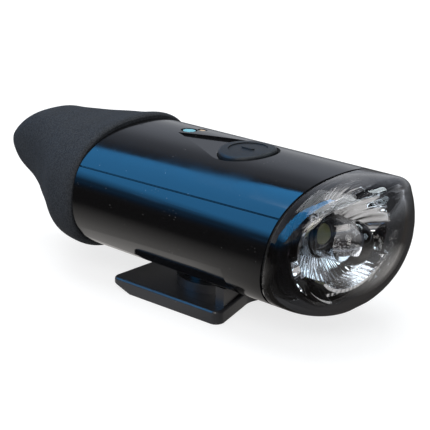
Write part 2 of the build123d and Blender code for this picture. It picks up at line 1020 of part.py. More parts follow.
def end_plate():
    """Cover over the collar's mouth with the opening for the port and two rests for its board."""
    front = collar_back
    back = front + end_plate_thickness
    plate = Solid.make_loft(
        [
            oval_wire(front, collar_half_width, collar_rise, collar_drop),
            oval_wire(back, collar_half_width, collar_rise, collar_drop),
        ],
        True,
    )
    board_back = port_board_station + port_board_thickness
    leg = block(
        port_width * half + free_gap + port_wall,
        port_board_half_width - free_gap,
        board_back,
        front + end_plate_thickness * half,
        -port_height * half,
        port_height * half,
    )
    neck = collar_loft(-collar_wall - free_gap, board_back - overrun, collar_back)
    plate += mirrored(leg & neck)
    plate -= across_plate(port_outline(running_gap + running_gap), front - overrun, back + overrun)
    for height in (end_boss_height, -end_boss_height):
        plate -= rod(0, height, front - overrun, back + overrun, end_screw_radius + running_gap)
    return plate


def end_plate_screws():
    """Two screws that pull the end plate onto both shells."""
    back = collar_back + end_plate_thickness
    screws = []
    for height in (end_boss_height, -end_boss_height):
        piece = screw(end_screw_radius, end_screw_length, end_screw_head_radius, end_screw_head_height)
        screws.append(Pos(0, back, height) * Rot(90, 0, 0) * piece)
    return screws


def shell_screws():
    """Two screws up through the lower collar into the upper one."""
    length = shell_screw_top - shell_screw_seat
    screws = []
    for across, station in shell_screw_places():
        piece = screw(shell_screw_radius, length, shell_screw_head_radius, shell_screw_head_height)
        screws.append(Pos(across, station, shell_screw_seat) * piece)
    return screws


def rear_cap():
    """Rubber cap over the collar that runs out into a rounded pull tab."""
    start = body_length + cap_front_gap
    wires = []
    rows = zip(cap_run_shares, cap_width_shares, cap_rise_shares, cap_drop_shares)
    for run_share, width_share, rise_share, drop_share in rows:
        station = start + cap_length * run_share
        rise = cap_rise * rise_share
        drop = cap_drop * drop_share
        middle = (rise - drop) * half
        reach = (rise + drop) * half
        wire = oval_wire(station, cap_half_width * width_share, reach, reach)
        lean_share = 1 - run_share
        turn = Rot(seam_lean * lean_share, 0, 0)
        wire = Pos(0, station, middle) * turn * Pos(0, -station, 0) * wire
        wires.append(wire)
    body = Solid.make_loft(wires, False)
    grow = cap_clearance
    body -= collar_loft(grow, collar_front - overrun, collar_back)
    plate_back = collar_back + end_plate_thickness + end_screw_head_height + grow
    body -= Solid.make_loft(
        [
            oval_wire(collar_back - grow, collar_half_width + grow, collar_rise + grow, collar_drop + grow),
            oval_wire(collar_back + end_plate_thickness + grow, collar_half_width, collar_rise, collar_drop),
        ],
        True,
    )
    for height in (end_boss_height, -end_boss_height):
        body -= rod(0, height, collar_back, plate_back, end_screw_head_radius + grow)
    pocket = RectangleRounded(2 * cap_pocket_half_width, 2 * cap_pocket_half_height, port_corner)
    body -= across_plate(pocket, collar_back, cap_pocket_back)
    return body


def foot_plan(front_shift, half_width, back):
    """Plan of the slide foot, with a shallow vee in its front edge."""
    front = foot_front + front_shift
    notch = foot_notch_station + front_shift
    points = [(half_width, back), (-half_width, back), (-half_width, front)]
    if half_width > foot_notch_start:
        points.append((-foot_notch_start, front))
    points.append((0, notch))
    if half_width > foot_notch_start:
        points.append((foot_notch_start, front))
    points.append((half_width, front))
    points.append(points[0])
    return make_face(Polyline(*points))


def slide_foot():
    """Plate on a round pillar with a stop wall at the front and a lead-in at the back."""
    plate = upright(foot_plan(0, foot_half_width, foot_back), foot_bottom, foot_level)
    uprights = plate.edges().filter_by(Axis.Z)
    corners = uprights.filter_by(lambda edge: abs(edge.center().X) > foot_notch_start + running_gap)
    plate = fillet(corners, foot_corner)
    uprights = plate.edges().filter_by(Axis.Z)
    plate = fillet(uprights.filter_by(lambda edge: abs(edge.center().X) < running_gap), foot_notch_radius)
    lead = make_face(
        Polyline(
            (foot_lead_station, foot_bottom),
            (foot_back + overrun, foot_bottom - overrun),
            (foot_back + overrun, foot_back_level),
            (foot_back, foot_back_level),
            (foot_lead_station, foot_bottom),
        )
    )
    plate -= extrude(Plane.YZ * lead, amount=foot_half_width + overrun, both=True)
    plate = fillet(plate.faces().sort_by(Axis.Z)[-1].edges(), foot_edge)
    pillar = post(0, pillar_station, foot_level - foot_edge, pad_level, pillar_radius)
    wall_back = stop_wall_setback + stop_wall_thickness
    wall_plan = foot_plan(stop_wall_setback, stop_wall_half_width, foot_back) - foot_plan(
        wall_back, stop_wall_half_width + overrun, foot_back + overrun
    )
    wall = upright(wall_plan, foot_level - foot_edge, 0) - [
        hull(-overrun, body_length, -free_gap),
        post(0, pillar_station, pad_level - free_gap, 0, pad_radius + free_gap),
    ]
    cuts = [
        block(
            -latch_notch_width * half,
            latch_notch_width * half,
            latch_notch_station,
            latch_notch_station + latch_notch_length,
            foot_bottom - overrun,
            foot_bottom + latch_notch_depth,
        )
    ]
    for across, station in foot_screw_places():
        cuts.append(post(across, station, foot_bottom - overrun, overrun, foot_screw_radius + running_gap))
        cuts.append(
            post(across, station, foot_bottom - overrun, foot_screw_seat, foot_screw_head_radius + free_gap)
        )
    return (plate + [pillar, wall]) - cuts


def foot_screws():
    """Two screws up through the foot's pillar into the lower shell."""
    length = foot_screw_top - foot_screw_seat
    screws = []
    for across, station in foot_screw_places():
        piece = screw(foot_screw_radius, length, foot_screw_head_radius, foot_screw_head_height)
        screws.append(Pos(across, station, foot_screw_seat) * piece)
    return screws


def save(name, shape):
    """Move a piece into the part's own frame and write it out."""
    pieces = shape if isinstance(shape, list) else [shape]
    solids = []
    for piece in pieces:
        solids.extend(piece.solids())
    moved = [solid.moved(model_shift) for solid in solids]
    result = moved[0] if len(moved) == 1 else Compound(children=moved)
    export_step(result, "parts/" + name + ".step")


both_shells = shell_body()
save("upper_shell", upper_shell(both_shells))
save("lower_shell", lower_shell(both_shells))
save("front_lens", front_lens())
save("lens_gasket", lens_gasket())
save("reflector_surround", reflector_surround())
save("reflector", reflector())
save("projector_lens", projector_lens())
save("led_emitter", led_emitter())
save("led_phosphor", led_phosphor())
save("led_board", led_board())
save("heat_sink", heat_sink())
save("heat_sink_screws", heat_sink_screws())
save("cell", cell())
save("cell_cradle", cell_cradle())
save("cell_tabs", cell_tabs())
save("control_board", control_board())
save("tactile_switch", tactile_switch())
save("switch_plunger", switch_plunger())
save("power_button", power_button())
save("indicator_lens", indicator_lens(0))
save("indicator_dot", indicator_lens(1))
save("indicator_leds", indicator_leds())
save("controller_chip", controller_chip())
save("power_coil", power_coil())
save("board_capacitors", board_capacitors())
save("port_board", port_board())
save("charging_port", charging_port())
save("end_plate", end_plate())
save("end_plate_screws", end_plate_screws())
save("shell_screws", shell_screws())
save("rear_cap", rear_cap())
save("slide_foot", slide_foot())
save("foot_screws", foot_screws())
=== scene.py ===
import bpy
import bmesh
import math
import numpy as np
from bpy.props import FloatProperty, FloatVectorProperty, IntProperty, PointerProperty
from mathutils import Matrix, Vector


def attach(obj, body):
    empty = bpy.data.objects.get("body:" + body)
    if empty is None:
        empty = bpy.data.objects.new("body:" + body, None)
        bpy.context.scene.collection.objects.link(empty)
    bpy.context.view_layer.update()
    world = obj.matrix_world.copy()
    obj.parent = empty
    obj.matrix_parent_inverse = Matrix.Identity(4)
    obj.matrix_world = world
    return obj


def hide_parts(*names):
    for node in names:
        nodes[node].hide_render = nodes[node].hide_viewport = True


bl_info = {
    "name": "Handlebar headlight",
    "version": (1, 0, 0),
    "blender": (4, 5, 0),
    "location": "View3D > Sidebar > Headlight",
    "description": "Dresses the packed headlight with its lens, finishes and studio",
    "category": "Object",
}

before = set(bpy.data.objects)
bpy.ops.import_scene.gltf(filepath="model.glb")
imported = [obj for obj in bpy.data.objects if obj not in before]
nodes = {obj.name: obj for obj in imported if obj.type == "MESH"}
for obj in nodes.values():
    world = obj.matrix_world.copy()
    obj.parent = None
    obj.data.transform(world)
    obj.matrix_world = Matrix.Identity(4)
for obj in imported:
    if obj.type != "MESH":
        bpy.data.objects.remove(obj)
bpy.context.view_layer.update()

# The part's own sizes are in millimetres, back from the lens edge and up from the body's axis
MM = 0.001
FOOT_MIDDLE = 35.0
AXIS_HEIGHT = 22.2

# Acrylic, for both clear mouldings
CLEAR_INDEX = 1.49


# Sizes in millimetres and colours that a user may change

class HEADLIGHT_PG_body(bpy.types.PropertyGroup):
    half_width: FloatProperty(
        name="Half width", description="Half the body's width at the lens edge", default=21.0
    )
    rise: FloatProperty(name="Rise", description="Body height above its axis", default=14.9)
    drop: FloatProperty(name="Drop", description="Body depth under its axis", default=16.6)
    length: FloatProperty(name="Length", description="From the lens edge to the cap", default=60.5)
    taper: FloatProperty(
        name="Taper", description="Share of the width lost over the length", subtype="FACTOR", default=0.037
    )
    bend: FloatProperty(name="Bend", description="Exponent of the rounded oval", default=0.8333)
    colour: FloatVectorProperty(
        name="Body colour",
        description="Gloss black of both shells",
        subtype="COLOR",
        size=3,
        default=(0.0045, 0.0045, 0.005),
    )
    roughness: FloatProperty(
        name="Body roughness", description="Roughness of the clean gloss", subtype="FACTOR", default=0.07
    )


class HEADLIGHT_PG_lens(bpy.types.PropertyGroup):
    lean: FloatProperty(name="Lean", description="Forward lean of the lens edge, in degrees", default=13.4)
    dome: FloatProperty(name="Dome radius", description="Radius of the domed front", default=22.8)
    reach: FloatProperty(name="Reach", description="How far the dome's ball stands forward", default=18.4)
    height: FloatProperty(name="Dome height", description="Ball centre above the body's axis", default=3.6)
    edge: FloatProperty(name="Edge radius", description="Rounding between dome and skirt", default=5.0)
    wall: FloatProperty(name="Wall", description="Lens wall", default=2.0)
    chamfer: FloatProperty(name="Chamfer", description="Inset of the skirt's broken rear edge", default=0.12)
    chamfer_length: FloatProperty(
        name="Chamfer length", description="Length of the skirt's broken rear edge", default=0.2
    )
    spigot_length: FloatProperty(
        name="Spigot length", description="How far the spigot enters the shells", default=3.4
    )
    spigot_inset: FloatProperty(
        name="Spigot inset", description="Step from the skirt in to the spigot", default=1.95
    )
    spigot_wall: FloatProperty(name="Spigot wall", description="Wall of the spigot", default=1.1)
    spigot_root: FloatProperty(
        name="Spigot root", description="Where the spigot ends inside, ahead of the lens edge", default=1.5
    )
    seat_step: FloatProperty(
        name="Seat step", description="Step between the skirt's inside and the dome's inside", default=0.3
    )
    segments: IntProperty(name="Segments", description="Points round the lens", default=160)
    tint: FloatVectorProperty(
        name="Lens tint",
        description="Very slightly smoky clear plastic",
        subtype="COLOR",
        size=3,
        default=(0.93, 0.935, 0.94),
    )


class HEADLIGHT_PG_optics(bpy.types.PropertyGroup):
    plating: FloatVectorProperty(
        name="Plating",
        description="Bright plating of the bowl",
        subtype="COLOR",
        size=3,
        default=(0.88, 0.89, 0.91),
    )
    flutes: IntProperty(name="Flutes", description="Number of fine flutes round the bowl", default=44)
    radius: FloatProperty(name="Projector radius", description="Radius of the projector lens", default=5.0)
    shoulder: FloatProperty(
        name="Projector shoulder", description="Where the projector's crown starts", default=6.9
    )
    crown: FloatProperty(name="Projector crown", description="Height of the projector's crown", default=4.7)
    back: FloatProperty(
        name="Projector back", description="How far the projector reaches back", default=1.2
    )
    bore: FloatProperty(name="Bore", description="Radius of the pocket for the light source", default=3.95)
    bore_floor: FloatProperty(name="Bore floor", description="Where the pocket ends in front", default=5.2)
    tint: FloatVectorProperty(
        name="Projector tint",
        description="Smoky clear plastic of the projector",
        subtype="COLOR",
        size=3,
        default=(0.47, 0.48, 0.5),
    )
    phosphor: FloatVectorProperty(
        name="Phosphor",
        description="Yellow dome over the light source",
        subtype="COLOR",
        size=3,
        default=(0.74, 0.72, 0.26),
    )


class HEADLIGHT_PG_cap(bpy.types.PropertyGroup):
    colour: FloatVectorProperty(
        name="Cap colour",
        description="Charcoal rubber",
        subtype="COLOR",
        size=3,
        default=(0.016, 0.0172, 0.0195),
    )
    grain: FloatProperty(
        name="Grain", description="Strength of the moulded grain", subtype="FACTOR", default=0.35
    )


class HEADLIGHT_PG_controls(bpy.types.PropertyGroup):
    key: FloatVectorProperty(
        name="Key colour",
        description="Dark rubber of the power key",
        subtype="COLOR",
        size=3,
        default=(0.008, 0.0105, 0.014),
    )
    cyan: FloatVectorProperty(
        name="Large window",
        description="Cyan indicator window",
        subtype="COLOR",
        size=3,
        default=(0.16, 0.55, 0.66),
    )
    cream: FloatVectorProperty(
        name="Small window",
        description="Cream indicator window",
        subtype="COLOR",
        size=3,
        default=(0.72, 0.5, 0.3),
    )


class HEADLIGHT_PG_foot(bpy.types.PropertyGroup):
    colour: FloatVectorProperty(
        name="Foot colour",
        description="Satin black of the slide foot",
        subtype="COLOR",
        size=3,
        default=(0.024, 0.024, 0.027),
    )


class HEADLIGHT_PG_stage(bpy.types.PropertyGroup):
    azimuth: FloatProperty(
        name="Azimuth", description="Camera direction round the light, in degrees", default=-48.099
    )
    elevation: FloatProperty(
        name="Elevation", description="Camera height angle, in degrees", default=18.663
    )
    distance: FloatProperty(name="Distance", description="Camera distance", default=391.75)
    aim: FloatProperty(
        name="Aim", description="Point on the body's axis that the camera faces", default=30.24
    )
    roll: FloatProperty(name="Roll", description="Camera roll, in degrees", default=0.686)
    focal: FloatProperty(name="Focal length", description="Lens for the camera's sensor", default=140.88)
    sensor: FloatProperty(name="Sensor", description="Sensor width", default=36.0)
    shift_x: FloatProperty(name="Shift X", description="Sideways lens shift", default=-0.0244)
    shift_y: FloatProperty(name="Shift Y", description="Upward lens shift", default=-0.0239)
    sky: FloatVectorProperty(
        name="Sky card",
        description="Colour of the large card that the glossy side mirrors",
        subtype="COLOR",
        size=3,
        default=(0.065, 0.42, 0.95),
    )


# Shape helpers

def place(x, y, z):
    """A point given in millimetres from the body's axis, in the part's frame."""
    return Vector((x * MM, (y - FOOT_MIDDLE) * MM, (z + AXIS_HEIGHT) * MM))


def bend(value, power):
    """Power of a value that keeps its sign."""
    return math.copysign(abs(value) ** power, value)


def hull_ring(station, slope, inset, count):
    """Points round the body outline, made smaller by an inset, on a plane that may slope."""
    body = bpy.context.scene.headlight_body
    taper = body.taper / body.length
    points = []
    for step in range(count):
        turn = 2 * math.pi * step / count
        across = bend(math.cos(turn), body.bend)
        up = bend(math.sin(turn), body.bend)
        reach = body.rise if up >= 0 else body.drop
        level = (reach * (1 - taper * station) - inset) * up / (1 + reach * taper * slope * up)
        where = station + slope * level
        points.append((((body.half_width * (1 - taper * where)) - inset) * across, where, level))
    return points


def new_object(name, mesh, body):
    """Object for a finished piece, riding on a body."""
    obj = bpy.data.objects.new(name, mesh)
    bpy.context.scene.collection.objects.link(obj)
    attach(obj, body)
    return obj


def skin_through(rings, name):
    """Closed mesh pulled through rings of points by extruding a circle from ring to ring."""
    count = len(rings[0])
    bm = bmesh.new()
    made = bmesh.ops.create_circle(bm, cap_ends=False, segments=count, radius=1.0)
    verts = list(made["verts"])
    verts.sort(key=lambda v: math.atan2(v.co.y, v.co.x) % (2 * math.pi))
    for vert, point in zip(verts, rings[0]):
        vert.co = place(*point)
    first = verts
    edges = list(bm.edges)
    for ring in rings[1:]:
        grown = bmesh.ops.extrude_edge_only(bm, edges=edges)
        fresh = {g for g in grown["geom"] if isinstance(g, bmesh.types.BMVert)}
        edges = [
            g for g in grown["geom"]
            if isinstance(g, bmesh.types.BMEdge) and all(v in fresh for v in g.verts)
        ]
        verts = [
            next(edge.other_vert(vert) for edge in vert.link_edges if edge.other_vert(vert) in fresh)
            for vert in verts
        ]
        for vert, point in zip(verts, ring):
            vert.co = place(*point)
    for pole in (first, verts):
        bmesh.ops.pointmerge(bm, verts=pole, merge_co=sum((v.co for v in pole), Vector()) / count)
    bmesh.ops.recalc_face_normals(bm, faces=bm.faces)
    mesh = bpy.data.meshes.new(name)
    bm.to_mesh(mesh)
    bm.free()
    return mesh


def shade(mesh, angle):
    """Smooth shading with hard edges where the faces turn by more than an angle."""
    mesh.polygons.foreach_set("use_smooth", [True] * len(mesh.polygons))
    mesh.set_sharp_from_angle(angle=math.radians(angle))


def soften(obj, angle=32.0, exact=None):
    """Smooth corner normals on a CAD node, whose triangles share no corners."""
    same_place = 2e-6
    least_area = 1e-14
    least_length = 1e-12
    mesh = obj.data
    face_count = len(mesh.polygons)
    corner_count = len(mesh.loops)
    index = np.empty(corner_count, np.int32)
    mesh.loops.foreach_get("vertex_index", index)
    co = np.empty(len(mesh.vertices) * 3, np.float32)
    mesh.vertices.foreach_get("co", co)
    co = co.reshape(-1, 3)[index].astype(np.float64)
    face_normal = np.empty(face_count * 3, np.float32)
    mesh.polygons.foreach_get("normal", face_normal)
    totals = np.empty(face_count, np.int32)
    mesh.polygons.foreach_get("loop_total", totals)
    area = np.empty(face_count, np.float32)
    mesh.polygons.foreach_get("area", area)
    owner = np.repeat(np.arange(face_count), totals)
    normal = face_normal.reshape(-1, 3)[owner].astype(np.float64)
    weight = np.sqrt(np.maximum(area, least_area))[owner]

    # Corners at the same place form a group, and each is paired with all of its group
    key = np.round(co / same_place).astype(np.int64)
    _, group = np.unique(key, axis=0, return_inverse=True)
    group = group.reshape(-1)
    order = np.argsort(group, kind="stable")
    starts = np.searchsorted(group[order], np.arange(group.max() + 2))
    sizes = np.diff(starts)[group[order]]
    first = np.repeat(np.arange(corner_count), sizes)
    offset = np.arange(len(first)) - np.repeat(np.cumsum(sizes) - sizes, sizes)
    second = np.repeat(starts[group[order]], sizes) + offset
    a = order[first]
    b = order[second]

    # A corner takes in the neighbours that face nearly its own way
    close = np.einsum("ij,ij->i", normal[a], normal[b]) > math.cos(math.radians(angle))
    total = np.zeros((corner_count, 3))
    np.add.at(total, a[close], normal[b[close]] * weight[b[close]][:, None])
    length = np.linalg.norm(total, axis=1)[:, None]
    smooth = np.where(length > least_length, total / np.maximum(length, least_length), normal)
    if exact is not None:
        wanted, use = exact(co, normal)
        smooth[use] = wanted[use]
    mesh.polygons.foreach_set("use_smooth", [True] * face_count)
    mesh.normals_split_custom_set(smooth.astype(np.float32).tolist())


def body_normals(co, normal):
    """Exact outward normals of the body outline, and where they hold."""
    off_outline = 0.02
    under_cap = 2.5
    widest_turn = 8
    body = bpy.context.scene.headlight_body
    x = co[:, 0] / MM
    y = co[:, 1] / MM + FOOT_MIDDLE
    z = co[:, 2] / MM - AXIS_HEIGHT
    power = 2 / body.bend
    share = 1 - body.taper * y / body.length
    width = body.half_width * share
    reach = np.where(z >= 0, body.rise, body.drop) * share
    value = (np.abs(x) / width) ** power + (np.abs(z) / reach) ** power
    gx = power * np.sign(x) * np.abs(x) ** (power - 1) / width ** power
    gz = power * np.sign(z) * np.abs(z) ** (power - 1) / reach ** power
    gy = power * value * body.taper / body.length / share
    grad = np.stack([gx, gy, gz], axis=1)
    grad /= np.linalg.norm(grad, axis=1)[:, None]
    near = (np.abs(value - 1) < off_outline) & (y < body.length + under_cap)
    facing = np.einsum("ij,ij->i", grad, normal) > math.cos(math.radians(widest_turn))
    return grad, near & facing


# Shared surface effects

def add_node(tree, kind, **values):
    """Node with its settings."""
    node = tree.nodes.new(kind)
    for key, value in values.items():
        setattr(node, key, value)
    return node


def ramp(tree, source, low, high, low_value=0.0, high_value=1.0):
    """Clamped straight-line change from one value to another."""
    node = add_node(tree, "ShaderNodeMapRange", clamp=True)
    node.inputs["From Min"].default_value = low
    node.inputs["From Max"].default_value = high
    node.inputs["To Min"].default_value = low_value
    node.inputs["To Max"].default_value = high_value
    tree.links.new(source, node.inputs["Value"])
    return node.outputs["Result"]


def mix_colour(tree, factor, first, second):
    """Mix of two colours, given as values or as sockets."""
    node = add_node(tree, "ShaderNodeMix", data_type="RGBA")
    for socket, value in (("A_Color", first), ("B_Color", second)):
        target = next(s for s in node.inputs if s.identifier == socket)
        if hasattr(value, "links"):
            tree.links.new(value, target)
        else:
            target.default_value = (*value, 1.0)
    tree.links.new(factor, next(s for s in node.inputs if s.identifier == "Factor_Float"))
    return next(s for s in node.outputs if s.identifier == "Result_Color")


def math_node(tree, operation, first, second):
    """Result of the named operation on two values or sockets."""
    node = add_node(tree, "ShaderNodeMath", operation=operation)
    for slot, value in enumerate((first, second)):
        if hasattr(value, "links"):
            tree.links.new(value, node.inputs[slot])
        else:
            node.inputs[slot].default_value = value
    return node.outputs[0]


def gloss_or_clear(tree, path):
    """One for what shows in gloss or through clear plastic, else zero."""
    return math_node(tree, "MAXIMUM", path.outputs["Is Glossy Ray"], path.outputs["Is Transmission Ray"])


def group_tree(name, inputs, outputs):
    """Empty shared effect with its named sockets."""
    tree = bpy.data.node_groups.new(name, "ShaderNodeTree")
    for label, default in inputs:
        socket = tree.interface.new_socket(label, in_out="INPUT", socket_type="NodeSocketFloat")
        socket.default_value = default
    for label in outputs:
        tree.interface.new_socket(label, in_out="OUTPUT", socket_type="NodeSocketFloat")
    start = tree.nodes.new("NodeGroupInput")
    end = tree.nodes.new("NodeGroupOutput")
    return tree, start, end


def build_grain():
    """Fine moulded grain with a broad mottle."""
    tree, start, end = group_tree("Moulded grain", [("Scale", 2200.0)], ["Height", "Mottle"])
    where = add_node(tree, "ShaderNodeTexCoord")
    fine = add_node(tree, "ShaderNodeTexNoise")
    fine.inputs["Detail"].default_value = 3.0
    fine.inputs["Roughness"].default_value = 0.6
    tree.links.new(where.outputs["Object"], fine.inputs["Vector"])
    tree.links.new(start.outputs["Scale"], fine.inputs["Scale"])
    cells = add_node(tree, "ShaderNodeTexVoronoi")
    tree.links.new(where.outputs["Object"], cells.inputs["Vector"])
    tree.links.new(start.outputs["Scale"], cells.inputs["Scale"])
    broad = add_node(tree, "ShaderNodeTexNoise")
    broad.inputs["Scale"].default_value = 90.0
    broad.inputs["Detail"].default_value = 4.0
    tree.links.new(where.outputs["Object"], broad.inputs["Vector"])
    joined = math_node(tree, "ADD", fine.outputs["Fac"], cells.outputs["Distance"])
    tree.links.new(joined, end.inputs["Height"])
    tree.links.new(broad.outputs["Fac"], end.inputs["Mottle"])
    return tree


def build_handling():
    """Hairline scratches, dust specks and smears from handling."""
    tree, start, end = group_tree(
        "Handling marks", [("Scratch scale", 900.0), ("Dust scale", 1100.0)], ["Scratch", "Dust", "Smear"]
    )
    where = add_node(tree, "ShaderNodeTexCoord")
    turn = add_node(tree, "ShaderNodeMapping")
    turn.inputs["Rotation"].default_value = (0.35, 0.6, 0.25)
    turn.inputs["Scale"].default_value = (1.0, 0.035, 1.0)
    tree.links.new(where.outputs["Object"], turn.inputs["Vector"])
    lines = add_node(tree, "ShaderNodeTexNoise")
    lines.inputs["Detail"].default_value = 1.0
    tree.links.new(turn.outputs["Vector"], lines.inputs["Vector"])
    tree.links.new(start.outputs["Scratch scale"], lines.inputs["Scale"])
    tree.links.new(ramp(tree, lines.outputs["Fac"], 0.69, 0.74), end.inputs["Scratch"])
    specks = add_node(tree, "ShaderNodeTexVoronoi")
    tree.links.new(where.outputs["Object"], specks.inputs["Vector"])
    tree.links.new(start.outputs["Dust scale"], specks.inputs["Scale"])
    chosen = add_node(tree, "ShaderNodeTexNoise")
    chosen.inputs["Scale"].default_value = 260.0
    tree.links.new(where.outputs["Object"], chosen.inputs["Vector"])
    dot = ramp(tree, specks.outputs["Distance"], 0.16, 0.06)
    kept = ramp(tree, chosen.outputs["Fac"], 0.6, 0.68)
    tree.links.new(math_node(tree, "MULTIPLY", dot, kept), end.inputs["Dust"])
    smear = add_node(tree, "ShaderNodeTexNoise")
    smear.inputs["Scale"].default_value = 55.0
    smear.inputs["Detail"].default_value = 5.0
    smear.inputs["Distortion"].default_value = 0.8
    tree.links.new(where.outputs["Object"], smear.inputs["Vector"])
    tree.links.new(smear.outputs["Fac"], end.inputs["Smear"])
    return tree


effects = {}


def effect(tree, name, **values):
    """Place a shared effect in a material with its own values."""
    if name not in effects:
        effects[name] = build_grain() if name == "grain" else build_handling()
    node = tree.nodes.new("ShaderNodeGroup")
    node.node_tree = effects[name]
    for label, value in values.items():
        node.inputs[label.replace("_", " ").capitalize()].default_value = value
    return node


def new_material(name, colour, roughness, metallic=0.0):
    """Material with its constants set, its node tree and its shader."""
    material = bpy.data.materials.new(name)
    material.use_nodes = True
    shader = material.node_tree.nodes["Principled BSDF"]
    shader.inputs["Base Color"].default_value = (*colour, 1.0)
    shader.inputs["Roughness"].default_value = roughness
    shader.inputs["Metallic"].default_value = metallic
    return material, material.node_tree, shader


def bump(tree, shader, height, strength, distance):
    """Raise a surface by a height pattern, over a distance in metres."""
    node = add_node(tree, "ShaderNodeBump")
    node.inputs["Strength"].default_value = strength
    node.inputs["Distance"].default_value = distance
    tree.links.new(height, node.inputs["Height"])
    tree.links.new(node.outputs["Normal"], shader.inputs["Normal"])


def dull(material, level):
    """Lower the sheen of a rubber."""
    material.node_tree.nodes["Principled BSDF"].inputs["Specular IOR Level"].default_value = level


def gloss_plastic(name, colour, roughness, dust=0.5):
    """Gloss moulding with faint smears, hairlines and a few specks of dust."""
    dust_colour = (0.42, 0.41, 0.4)
    material, tree, shader = new_material(name, colour, roughness)
    marks = effect(tree, "handling")
    smeared = ramp(tree, marks.outputs["Smear"], 0.35, 0.75, roughness, roughness + 0.09)
    scratched = math_node(tree, "MULTIPLY", marks.outputs["Scratch"], 0.12)
    tree.links.new(math_node(tree, "ADD", smeared, scratched), shader.inputs["Roughness"])
    dusty = math_node(tree, "MULTIPLY", marks.outputs["Dust"], dust)
    tree.links.new(mix_colour(tree, dusty, colour, dust_colour), shader.inputs["Base Color"])
    bump(tree, shader, marks.outputs["Scratch"], 0.08, 0.00005)
    return material


def matte_plastic(name, colour, roughness, scale=1600.0, strength=0.25, speckle=0.0):
    """Matte moulding with a fine grain and a broad mottle."""
    material, tree, shader = new_material(name, colour, roughness)
    darker = tuple(c * 0.75 for c in colour)
    lighter = tuple(min(1.0, c * 1.35 + 0.004) for c in colour)
    pale = tuple(min(1.0, c * 2.6 + 0.01) for c in colour)
    grain = effect(tree, "grain", scale=scale)
    mottled = mix_colour(tree, ramp(tree, grain.outputs["Mottle"], 0.3, 0.7), darker, lighter)
    tops = ramp(tree, grain.outputs["Height"], 0.55, 1.25, 0.0, speckle)
    tree.links.new(mix_colour(tree, tops, mottled, pale), shader.inputs["Base Color"])
    uneven = ramp(tree, grain.outputs["Mottle"], 0.3, 0.7, roughness - 0.06, roughness + 0.06)
    tree.links.new(uneven, shader.inputs["Roughness"])
    bump(tree, shader, grain.outputs["Height"], strength, 0.00008)
    return material


def bare_metal(name, colour, roughness):
    """Metal with fine brushing and handling marks."""
    material, tree, shader = new_material(name, colour, roughness, 1.0)
    marks = effect(tree, "handling", scratch_scale=1400.0)
    smeared = ramp(tree, marks.outputs["Smear"], 0.3, 0.7, roughness * 0.8, roughness * 1.3)
    scratched = math_node(tree, "MULTIPLY", marks.outputs["Scratch"], 0.15)
    tree.links.new(math_node(tree, "ADD", smeared, scratched), shader.inputs["Roughness"])
    bump(tree, shader, marks.outputs["Scratch"], 0.15, 0.00004)
    return material


def clear_plastic(name, tint):
    """Clear moulding with a trace of smears."""
    material, tree, shader = new_material(name, tint, 0.0)
    shader.inputs["Transmission Weight"].default_value = 1.0
    shader.inputs["IOR"].default_value = CLEAR_INDEX
    marks = effect(tree, "handling")
    tree.links.new(ramp(tree, marks.outputs["Smear"], 0.45, 0.8, 0.0, 0.012), shader.inputs["Roughness"])
    return material


def dress(names, material):
    """Give CAD nodes a finish and smooth corner normals."""
    for name in names:
        obj = nodes[name]
        obj.data.materials.clear()
        obj.data.materials.append(material)
        soften(obj, exact=body_normals if name in ("upper_shell", "lower_shell") else None)


# Pieces

class HEADLIGHT_OT_shells(bpy.types.Operator):
    """Gloss black finish of the two shells, with exact surface normals"""
    bl_idname = "headlight.shells"
    bl_label = "Shells"

    def execute(self, context):
        body = context.scene.headlight_body
        material = gloss_plastic("Gloss black", tuple(body.colour), body.roughness, 0.3)
        dress(["upper_shell", "lower_shell"], material)
        return {"FINISHED"}


